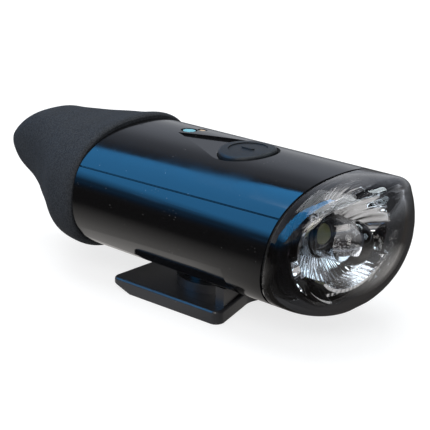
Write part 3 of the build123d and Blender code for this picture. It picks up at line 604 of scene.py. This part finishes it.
class HEADLIGHT_OT_lens(bpy.types.Operator):
    """Clear domed front lens and its rubber seal"""
    bl_idname = "headlight.lens"
    bl_label = "Front lens"

    def ball_front(self, context, inset, x, z):
        """Where the ball's front lies at a point across."""
        lens = context.scene.headlight_lens
        radius = lens.dome - inset
        depth = math.sqrt(max(radius * radius - x * x - (z - lens.height) ** 2, 0.0))
        return lens.dome - lens.reach - depth

    def crease(self, context, inset):
        """Points where the ball meets the skirt, closed in on from a first guess."""
        first_guess = -5.0
        rounds = 12
        lens = context.scene.headlight_lens
        body = context.scene.headlight_body
        taper = body.taper / body.length
        ring = []
        for step in range(lens.segments):
            turn = 2 * math.pi * step / lens.segments
            across = bend(math.cos(turn), body.bend)
            up = bend(math.sin(turn), body.bend)
            reach = body.rise if up >= 0 else body.drop
            station = first_guess
            for _ in range(rounds):
                x = (body.half_width * (1 - taper * station) - inset) * across
                z = (reach * (1 - taper * station) - inset) * up
                station = self.ball_front(context, inset, x, z)
            ring.append((x, station, z))
        return ring

    def dome_ring(self, context, inset, corner, share):
        """Ring on the ball, at a share of the way from the axis to the crease."""
        ring = []
        for x, y, z in corner:
            station = self.ball_front(context, inset, x * share, z * share)
            ring.append((x * share, station, z * share))
        return ring

    def rounded_rings(self, context, corner, steps):
        """Rings that round the crease over from the ball to the skirt."""
        inward_share = 0.98
        lens = context.scene.headlight_lens
        body = context.scene.headlight_body
        taper = body.taper / body.length
        rings = [[] for _ in range(steps + 1)]
        inner_ring = self.dome_ring(context, 0.0, corner, inward_share)
        for outer, inner in zip(corner, inner_ring):
            point = Vector(outer)
            along = (Vector(inner) - point).normalized()
            shrink = -taper / (1 - taper * point.y)
            back = Vector((point.x * shrink, 1.0, point.z * shrink)).normalized()
            turn = math.pi - along.angle(back)
            tangent = lens.edge * math.tan(turn / 2)
            start = point + along * tangent
            stop = point + back * tangent
            for step in range(steps + 1):
                t = step / steps
                spot = start * (1 - t) ** 2 + point * (2 * t * (1 - t)) + stop * t ** 2
                rings[step].append(tuple(spot))
        return rings

    def execute(self, context):
        lens = context.scene.headlight_lens
        slope = -math.tan(math.radians(lens.lean))
        dome_shares = [0.0, 0.08, 0.17, 0.27, 0.37, 0.47, 0.56, 0.64, 0.71, 0.77, 0.82]
        inner_rim_shares = [0.985, 0.95]
        rounding_steps = 12
        corner = self.crease(context, 0.0)
        rings = [self.dome_ring(context, 0.0, corner, share) for share in dome_shares]
        rings.extend(self.rounded_rings(context, corner, rounding_steps))
        spigot_inside = lens.spigot_inset + lens.spigot_wall
        for station, inset in (
            (-lens.chamfer_length, 0.0),
            (0.0, lens.chamfer),
            (0.0, lens.spigot_inset),
            (lens.spigot_length, lens.spigot_inset),
            (lens.spigot_length, spigot_inside),
            (-lens.spigot_root, spigot_inside),
            (-lens.spigot_root, lens.wall),
        ):
            rings.append(hull_ring(station, slope, inset, lens.segments))
        inner_corner = self.crease(context, lens.wall)
        rings.append([(x, y + lens.seat_step, z) for x, y, z in inner_corner])
        for share in inner_rim_shares + dome_shares[::-1]:
            rings.append(self.dome_ring(context, lens.wall, inner_corner, share))
        mesh = skin_through(rings, "clear_front")
        shade(mesh, 40.0)
        piece = new_object("clear_front", mesh, "light")
        mesh.materials.append(clear_plastic("Clear front", tuple(lens.tint)))
        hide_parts("front_lens")
        dress(["lens_gasket"], matte_plastic("Seal rubber", (0.008, 0.008, 0.008), 0.7, 1600.0, 0.05))
        return {"FINISHED"}


class HEADLIGHT_OT_optics(bpy.types.Operator):
    """Reflector, its black surround, the projector lens and the light source"""
    bl_idname = "headlight.optics"
    bl_label = "Optics"

    def bright_plating(self, optics):
        """Mirror plating with fine flutes round the beam and a slightly wavy skin."""
        material, tree, shader = new_material("Bright reflector", tuple(optics.plating), 0.03, 1.0)
        marks = effect(tree, "handling")
        tree.links.new(ramp(tree, marks.outputs["Smear"], 0.3, 0.8, 0.02, 0.08), shader.inputs["Roughness"])
        where = add_node(tree, "ShaderNodeTexCoord")
        centred = add_node(tree, "ShaderNodeVectorMath", operation="SUBTRACT")
        centred.inputs[1].default_value = place(0, 0, 0)
        tree.links.new(where.outputs["Object"], centred.inputs[0])
        split = add_node(tree, "ShaderNodeSeparateXYZ")
        tree.links.new(centred.outputs[0], split.inputs[0])
        turn = math_node(tree, "ARCTAN2", split.outputs["X"], split.outputs["Z"])
        waves = math_node(tree, "SINE", math_node(tree, "MULTIPLY", turn, optics.flutes), 0.0)
        skin = add_node(tree, "ShaderNodeTexNoise")
        skin.inputs["Scale"].default_value = 210.0
        tree.links.new(where.outputs["Object"], skin.inputs["Vector"])
        height = math_node(tree, "ADD", math_node(tree, "MULTIPLY", waves, 0.12), skin.outputs["Fac"])
        bump(tree, shader, height, 0.5, 0.0005)
        return material

    def darken_back(self, obj, material):
        """Leave the outside of the bowl in bare black plastic, as only its inside is plated."""
        backward = Vector((0.0, 0.6, 0.0))
        least_facing = 0.15
        obj.data.materials.append(material)
        axis = place(0, 0, 0)
        for face in obj.data.polygons:
            away = face.center - axis
            away.y = 0.0
            if face.normal.dot(away.normalized() + backward) > least_facing:
                face.material_index = 1

    def projector(self, optics):
        """Clear stub with a crowned front, and a pocket behind for the light source."""
        crown_steps = 14
        profile = [
            (0.0, -optics.bore_floor),
            (optics.bore, -optics.bore_floor),
            (optics.bore, optics.back),
            (optics.radius, optics.back),
            (optics.radius, -optics.shoulder),
        ]
        for step in range(1, crown_steps + 1):
            turn = math.pi / 2 * step / crown_steps
            front = -optics.shoulder - optics.crown * math.sin(turn)
            profile.append((optics.radius * math.cos(turn), front))
        bm = bmesh.new()
        verts = [bm.verts.new(place(radius, station, 0.0)) for radius, station in profile]
        for a, b in zip(verts, verts[1:]):
            bm.edges.new((a, b))
        bmesh.ops.spin(
            bm,
            geom=list(bm.verts) + list(bm.edges),
            cent=place(0, 0, 0),
            axis=(0, 1, 0),
            angle=2 * math.pi,
            steps=72,
            use_merge=True,
        )
        bmesh.ops.remove_doubles(bm, verts=bm.verts, dist=1e-7)
        bmesh.ops.recalc_face_normals(bm, faces=bm.faces)
        mesh = bpy.data.meshes.new("projector")
        bm.to_mesh(mesh)
        bm.free()
        shade(mesh, 40.0)
        piece = new_object("projector", mesh, "light")
        mesh.materials.append(clear_plastic("Clear optic", tuple(optics.tint)))
        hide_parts("projector_lens")

    def execute(self, context):
        optics = context.scene.headlight_optics
        dress(["reflector"], self.bright_plating(optics))
        bare = gloss_plastic("Reflector back", (0.006, 0.006, 0.007), 0.3, 0.2)
        self.darken_back(nodes["reflector"], bare)
        dress(["reflector_surround"], gloss_plastic("Surround black", (0.006, 0.005, 0.007), 0.16, 0.2))
        self.projector(optics)
        dress(["led_phosphor"], matte_plastic("Phosphor", tuple(optics.phosphor), 0.4, 3000.0, 0.1))
        dress(["led_emitter"], matte_plastic("Emitter carrier", (0.05, 0.05, 0.055), 0.5))
        dress(["led_board"], matte_plastic("Light board", (0.16, 0.16, 0.17), 0.45))
        return {"FINISHED"}


class HEADLIGHT_OT_cap(bpy.types.Operator):
    """Soft charcoal cap with a fine moulded grain"""
    bl_idname = "headlight.cap"
    bl_label = "Rear cap"

    def execute(self, context):
        cap = context.scene.headlight_cap
        rubber = matte_plastic("Cap rubber", tuple(cap.colour), 0.8, 2600.0, cap.grain, 0.8)
        dull(rubber, 0.1)
        dress(["rear_cap"], rubber)
        return {"FINISHED"}


class HEADLIGHT_OT_controls(bpy.types.Operator):
    """Power key, its switch and the two indicator windows"""
    bl_idname = "headlight.controls"
    bl_label = "Controls"

    def execute(self, context):
        controls = context.scene.headlight_controls
        rubber = matte_plastic("Key rubber", tuple(controls.key), 0.5, 2600.0, 0.2)
        dull(rubber, 0.35)
        dress(["power_button"], rubber)
        dress(["indicator_lens"], gloss_plastic("Cyan window", tuple(controls.cyan), 0.25, 0.2))
        dress(["indicator_dot"], gloss_plastic("Cream window", tuple(controls.cream), 0.3, 0.2))
        dress(["tactile_switch"], matte_plastic("Switch body", (0.02, 0.02, 0.02), 0.5))
        dress(["switch_plunger"], matte_plastic("Switch pin", (0.35, 0.05, 0.04), 0.5))
        return {"FINISHED"}


class HEADLIGHT_OT_foot(bpy.types.Operator):
    """Satin finish of the slide foot"""
    bl_idname = "headlight.foot"
    bl_label = "Slide foot"

    def execute(self, context):
        foot = context.scene.headlight_foot
        dress(["slide_foot"], gloss_plastic("Foot black", tuple(foot.colour), 0.3, 0.4))
        return {"FINISHED"}


class HEADLIGHT_OT_inner(bpy.types.Operator):
    """Battery, boards, charging port, heat sink and all the screws"""
    bl_idname = "headlight.inner"
    bl_label = "Inner parts"

    def execute(self, context):
        steel = bare_metal("Screw steel", (0.5, 0.5, 0.5), 0.3)
        dress(["heat_sink_screws", "cell_tabs", "end_plate_screws", "shell_screws", "foot_screws"], steel)
        dress(["charging_port"], bare_metal("Port shell", (0.6, 0.6, 0.61), 0.25))
        dress(["heat_sink"], bare_metal("Sink aluminium", (0.6, 0.61, 0.62), 0.4))
        dress(["cell"], gloss_plastic("Cell wrap", (0.05, 0.2, 0.4), 0.3))
        dark = matte_plastic("Inner moulding", (0.03, 0.03, 0.033), 0.55)
        dress(["cell_cradle", "end_plate", "controller_chip"], dark)
        mask = matte_plastic("Board mask", (0.015, 0.09, 0.04), 0.35, 900.0, 0.1)
        dress(["control_board", "port_board"], mask)
        dress(["power_coil", "board_capacitors"], matte_plastic("Component grey", (0.16, 0.15, 0.14), 0.5))
        dress(["indicator_leds"], matte_plastic("Small emitters", (0.6, 0.6, 0.5), 0.4))
        return {"FINISHED"}


class HEADLIGHT_OT_stage(bpy.types.Operator):
    """Pale floor, soft light and the camera at the photograph's angle"""
    bl_idname = "headlight.stage"
    bl_label = "Stage"

    def card(self, name, corners, colour, strength, fade=0.01, through=True):
        """Glowing card, in metres, that only shows in reflections and through clear pieces."""
        bm = bmesh.new()
        bm.faces.new([bm.verts.new(Vector(corner)) for corner in corners])
        mesh = bpy.data.meshes.new(name)
        bm.to_mesh(mesh)
        bm.free()
        material = bpy.data.materials.new(name)
        material.use_nodes = True
        tree = material.node_tree
        tree.nodes.clear()
        glow = add_node(tree, "ShaderNodeEmission")
        glow.inputs["Color"].default_value = (*colour, 1.0)
        where = add_node(tree, "ShaderNodeTexCoord")
        split = add_node(tree, "ShaderNodeSeparateXYZ")
        tree.links.new(where.outputs["Object"], split.inputs[0])
        rise = ramp(tree, split.outputs["Z"], fade * 0.3, fade, 0.1, 1.0)
        tree.links.new(math_node(tree, "MULTIPLY", rise, strength), glow.inputs["Strength"])
        out = add_node(tree, "ShaderNodeOutputMaterial")
        tree.links.new(glow.outputs[0], out.inputs["Surface"])
        mesh.materials.append(material)
        obj = bpy.data.objects.new(name, mesh)
        bpy.context.scene.collection.objects.link(obj)
        obj.visible_camera = False
        obj.visible_diffuse = False
        obj.visible_shadow = False
        obj.visible_transmission = through

    def lamp(self, name, position, target, side, power, colour=(1.0, 1.0, 1.0)):
        """Square soft lamp, in metres, that the camera doesn't see."""
        data = bpy.data.lights.new(name, "AREA")
        data.shape = "SQUARE"
        data.size = side
        data.energy = power
        data.color = colour
        obj = bpy.data.objects.new(name, data)
        obj.location = position
        aim = Vector(target) - Vector(position)
        obj.rotation_euler = aim.to_track_quat("-Z", "Y").to_euler()
        bpy.context.scene.collection.objects.link(obj)
        obj.visible_camera = False

    def painted_floor_reflection(self, tree, path):
        """Painted reflection of the floor for gloss and clear plastic: painted light right below, dark round
        it, then pale or blue.
        """
        dark = (0.035, 0.031, 0.028)
        # Painted light: glow under the light, seen only in reflections, with no shadow in it
        painted_light_below = (0.66, 0.64, 0.62)
        far_right = (0.42, 0.44, 0.48)
        far_left = (0.012, 0.10, 0.24)
        # Painted shade: near black for what clear plastic sees of the floor behind the front
        painted_lens_shade = (0.03, 0.031, 0.034)
        where = add_node(tree, "ShaderNodeTexCoord")
        squeeze = add_node(tree, "ShaderNodeMapping")
        squeeze.inputs["Scale"].default_value = (1.0, 0.4, 1.0)
        tree.links.new(where.outputs["Object"], squeeze.inputs["Vector"])
        reach = add_node(tree, "ShaderNodeVectorMath", operation="LENGTH")
        tree.links.new(squeeze.outputs["Vector"], reach.inputs[0])
        sides = add_node(tree, "ShaderNodeSeparateXYZ")
        tree.links.new(where.outputs["Object"], sides.inputs[0])
        near = ramp(tree, reach.outputs["Value"], 0.030, 0.062, 1.0, 0.0)
        far = ramp(tree, reach.outputs["Value"], 0.12, 0.45)
        left = ramp(tree, sides.outputs["X"], -0.02, -0.2)
        far_floor = mix_colour(tree, left, far_right, far_left)
        open_floor = mix_colour(tree, far, dark, far_floor)
        rear_part = ramp(tree, sides.outputs["Y"], -0.035, 0.0)
        front_part = ramp(tree, sides.outputs["Y"], -0.05, -0.058)
        # Mask of the painted light right under the light
        painted_light_mask = math_node(tree, "MULTIPLY", near, math_node(tree, "ADD", rear_part, front_part))
        all_floor = mix_colour(tree, painted_light_mask, open_floor, painted_light_below)
        behind = ramp(tree, sides.outputs["Y"], -0.06, -0.03)
        seen_through = math_node(tree, "MULTIPLY", path.outputs["Is Transmission Ray"], behind)
        return mix_colour(tree, seen_through, all_floor, painted_lens_shade)

    def make_floor(self):
        """Pale floor that shows white, keeps the shadow and is clear from below."""
        bm = bmesh.new()
        just_under = Matrix.Translation((0.0, 0.0, -0.0001))
        bmesh.ops.create_circle(bm, cap_ends=True, segments=96, radius=6.0, matrix=just_under)
        mesh = bpy.data.meshes.new("floor")
        bm.to_mesh(mesh)
        bm.free()
        floor = bpy.data.objects.new("floor", mesh)
        bpy.context.scene.collection.objects.link(floor)
        material, tree, shader = new_material("Pale floor", (0.38, 0.38, 0.38), 0.9)
        shader.inputs["Specular IOR Level"].default_value = 0.0
        path = add_node(tree, "ShaderNodeLightPath")
        glow = add_node(tree, "ShaderNodeEmission")
        whitening = math_node(tree, "MULTIPLY", path.outputs["Is Camera Ray"], 0.74)
        tree.links.new(whitening, glow.inputs["Strength"])
        seen = add_node(tree, "ShaderNodeAddShader")
        tree.links.new(shader.outputs[0], seen.inputs[0])
        tree.links.new(glow.outputs[0], seen.inputs[1])
        # Painted reflection: the floor glows with its painted pattern for gloss and clear plastic
        mirrored = add_node(tree, "ShaderNodeEmission")
        tree.links.new(self.painted_floor_reflection(tree, path), mirrored.inputs["Color"])
        choose = add_node(tree, "ShaderNodeMixShader")
        tree.links.new(gloss_or_clear(tree, path), choose.inputs["Fac"])
        tree.links.new(seen.outputs[0], choose.inputs[1])
        tree.links.new(mirrored.outputs[0], choose.inputs[2])
        side = add_node(tree, "ShaderNodeNewGeometry")
        clear = add_node(tree, "ShaderNodeBsdfTransparent")
        one_sided = add_node(tree, "ShaderNodeMixShader")
        tree.links.new(side.outputs["Backfacing"], one_sided.inputs["Fac"])
        tree.links.new(choose.outputs[0], one_sided.inputs[1])
        tree.links.new(clear.outputs[0], one_sided.inputs[2])
        tree.links.new(one_sided.outputs[0], tree.nodes["Material Output"].inputs["Surface"])
        mesh.materials.append(material)

    def make_world(self, scene):
        """White behind the light, even soft light on it, and a banded sky in its gloss."""
        soft_light = (0.5, 0.52, 0.55)
        # Painted shade: near black that clear plastic sees behind the light, for the dark inside the lens
        painted_lens_shade = (0.03, 0.031, 0.035)
        low = (0.62, 0.64, 0.68)
        high = (0.12, 0.13, 0.15)
        bands_between = (
            (0.36, (0.42, 0.45, 0.52)),
            (0.60, (0.24, 0.26, 0.31)),
            (0.74, (0.05, 0.05, 0.06)),
            (0.86, (0.05, 0.05, 0.06)),
        )
        world = bpy.data.worlds.new("Studio")
        world.use_nodes = True
        scene.world = world
        tree = world.node_tree
        where = add_node(tree, "ShaderNodeTexCoord")
        split = add_node(tree, "ShaderNodeSeparateXYZ")
        tree.links.new(where.outputs["Generated"], split.inputs[0])
        bands = add_node(tree, "ShaderNodeValToRGB")
        bands.color_ramp.interpolation = "EASE"
        bands.color_ramp.elements[0].position = 0.0
        bands.color_ramp.elements[0].color = (*low, 1.0)
        bands.color_ramp.elements[1].position = 1.0
        bands.color_ramp.elements[1].color = (*high, 1.0)
        for position, colour in bands_between:
            bands.color_ramp.elements.new(position).color = (*colour, 1.0)
        tree.links.new(split.outputs["Z"], bands.inputs["Fac"])
        front = ramp(tree, split.outputs["Y"], -0.4, 0.25, 0.025, 1.0)
        shaded = add_node(tree, "ShaderNodeVectorMath", operation="SCALE")
        tree.links.new(bands.outputs["Color"], shaded.inputs[0])
        tree.links.new(front, shaded.inputs["Scale"])
        path = add_node(tree, "ShaderNodeLightPath")
        lit = mix_colour(tree, gloss_or_clear(tree, path), soft_light, shaded.outputs[0])
        behind = ramp(tree, split.outputs["Y"], 0.0, 0.2)
        seen_through = math_node(tree, "MULTIPLY", path.outputs["Is Transmission Ray"], behind)
        through = mix_colour(tree, seen_through, lit, painted_lens_shade)
        seen = mix_colour(tree, path.outputs["Is Camera Ray"], through, (1.0, 1.0, 1.0))
        tree.links.new(seen, tree.nodes["Background"].inputs["Color"])
        tree.nodes["Background"].inputs["Strength"].default_value = 1.0

    def make_cards(self, sky):
        """Cards that the shells' gloss, the bright bowl and the lens mirror."""
        sky_wall = 1.5
        sky_outline = (
            (-3.4, 0.0),
            (-1.2, 0.0),
            (-0.9, 0.85),
            (-0.4, 1.27),
            (0.08, 1.51),
            (0.36, 1.72),
            (0.95, 1.84),
            (1.0, 2.6),
            (-3.4, 2.6),
        )
        self.card("sky_card", [(x, sky_wall, z) for x, z in sky_outline], sky, 4.6, 0.7, False)
        for name, corners, colour, strength in (
            (
                "window_card",
                [(-1.9, -0.7, 0.3), (-1.5, -1.3, 0.3), (-1.5, -1.3, 1.5), (-1.9, -0.7, 1.5)],
                (1.0, 0.95, 0.88),
                4.5,
            ),
            (
                "side_card",
                [(0.9, -1.6, 0.4), (1.5, -1.1, 0.4), (1.5, -1.1, 1.1), (0.9, -1.6, 1.1)],
                (0.75, 0.9, 1.0),
                3.0,
            ),
            (
                "over_card",
                [(-0.5, -1.3, 1.4), (0.5, -1.3, 1.4), (0.5, -0.6, 1.9), (-0.5, -0.6, 1.9)],
                (0.86, 0.94, 1.0),
                3.2,
            ),
            (
                "rim_card",
                [(1.4, -0.45, 1.1), (1.4, 0.15, 1.2), (1.2, 0.15, 1.7), (1.2, -0.45, 1.6)],
                (0.85, 0.95, 1.0),
                7.0,
            ),
            (
                "low_card",
                [(-0.9, -1.9, 0.02), (-0.3, -2.0, 0.02), (-0.3, -2.0, 0.26), (-0.9, -1.9, 0.26)],
                (1.0, 0.96, 0.92),
                3.5,
            ),
        ):
            self.card(name, corners, colour, strength)

    def make_camera(self, scene, stage):
        """Camera at the photograph's angle, with its shift and its slight roll."""
        azimuth = math.radians(stage.azimuth)
        elevation = math.radians(stage.elevation)
        roll = math.radians(stage.roll)
        level = math.cos(elevation)
        toward = Vector((math.sin(azimuth) * level, -math.cos(azimuth) * level, math.sin(elevation)))
        right = Vector((math.cos(azimuth), math.sin(azimuth), 0.0))
        up = toward.cross(right)
        turned = right * math.cos(roll) + up * math.sin(roll)
        upward = up * math.cos(roll) - right * math.sin(roll)
        data = bpy.data.cameras.new("camera")
        data.lens = stage.focal
        data.sensor_width = stage.sensor
        data.shift_x = stage.shift_x
        data.shift_y = stage.shift_y
        data.clip_start = 0.01
        camera = bpy.data.objects.new("camera", data)
        turn = Matrix((turned, upward, toward)).transposed().to_4x4()
        spot = place(0, stage.aim, 0) + toward * stage.distance * MM
        camera.matrix_world = Matrix.Translation(spot) @ turn
        scene.collection.objects.link(camera)
        scene.camera = camera

    def execute(self, context):
        scene = context.scene
        stage = scene.headlight_stage
        scene.view_settings.view_transform = "Standard"
        self.make_floor()
        self.make_world(scene)
        self.make_cards(tuple(stage.sky))
        body_middle = (0.0, 0.0, 0.02)
        self.lamp("soft_left", (-1.2, -0.5, 1.1), body_middle, 0.9, 9.0)
        self.lamp("soft_top", (0.1, 0.3, 1.5), body_middle, 1.2, 12.0, (0.93, 0.97, 1.0))
        self.make_camera(scene, stage)
        return {"FINISHED"}


class HEADLIGHT_PT_panel(bpy.types.Panel):
    bl_label = "Headlight"
    bl_idname = "HEADLIGHT_PT_panel"
    bl_space_type = "VIEW_3D"
    bl_region_type = "UI"
    bl_category = "Headlight"

    def draw(self, context):
        for name, kind in GROUPS:
            box = self.layout.box()
            for key in kind.__annotations__:
                box.prop(getattr(context.scene, name), key)
        for operator in OPERATORS:
            self.layout.operator(operator.bl_idname)


GROUPS = (
    ("headlight_body", HEADLIGHT_PG_body),
    ("headlight_lens", HEADLIGHT_PG_lens),
    ("headlight_optics", HEADLIGHT_PG_optics),
    ("headlight_cap", HEADLIGHT_PG_cap),
    ("headlight_controls", HEADLIGHT_PG_controls),
    ("headlight_foot", HEADLIGHT_PG_foot),
    ("headlight_stage", HEADLIGHT_PG_stage),
)

OPERATORS = (
    HEADLIGHT_OT_stage,
    HEADLIGHT_OT_shells,
    HEADLIGHT_OT_lens,
    HEADLIGHT_OT_optics,
    HEADLIGHT_OT_cap,
    HEADLIGHT_OT_controls,
    HEADLIGHT_OT_foot,
    HEADLIGHT_OT_inner,
)


def register():
    for name, group in GROUPS:
        bpy.utils.register_class(group)
        setattr(bpy.types.Scene, name, PointerProperty(type=group))
    for operator in OPERATORS:
        bpy.utils.register_class(operator)
    bpy.utils.register_class(HEADLIGHT_PT_panel)


def unregister():
    bpy.utils.unregister_class(HEADLIGHT_PT_panel)
    for operator in reversed(OPERATORS):
        bpy.utils.unregister_class(operator)
    for name, group in reversed(GROUPS):
        delattr(bpy.types.Scene, name)
        bpy.utils.unregister_class(group)


def main():
    """Dress the part, piece by piece."""
    register()
    for operator in OPERATORS:
        family, action = operator.bl_idname.split(".")
        getattr(getattr(bpy.ops, family), action)()
    bpy.context.view_layer.update()


if __name__ == "__main__":
    main()
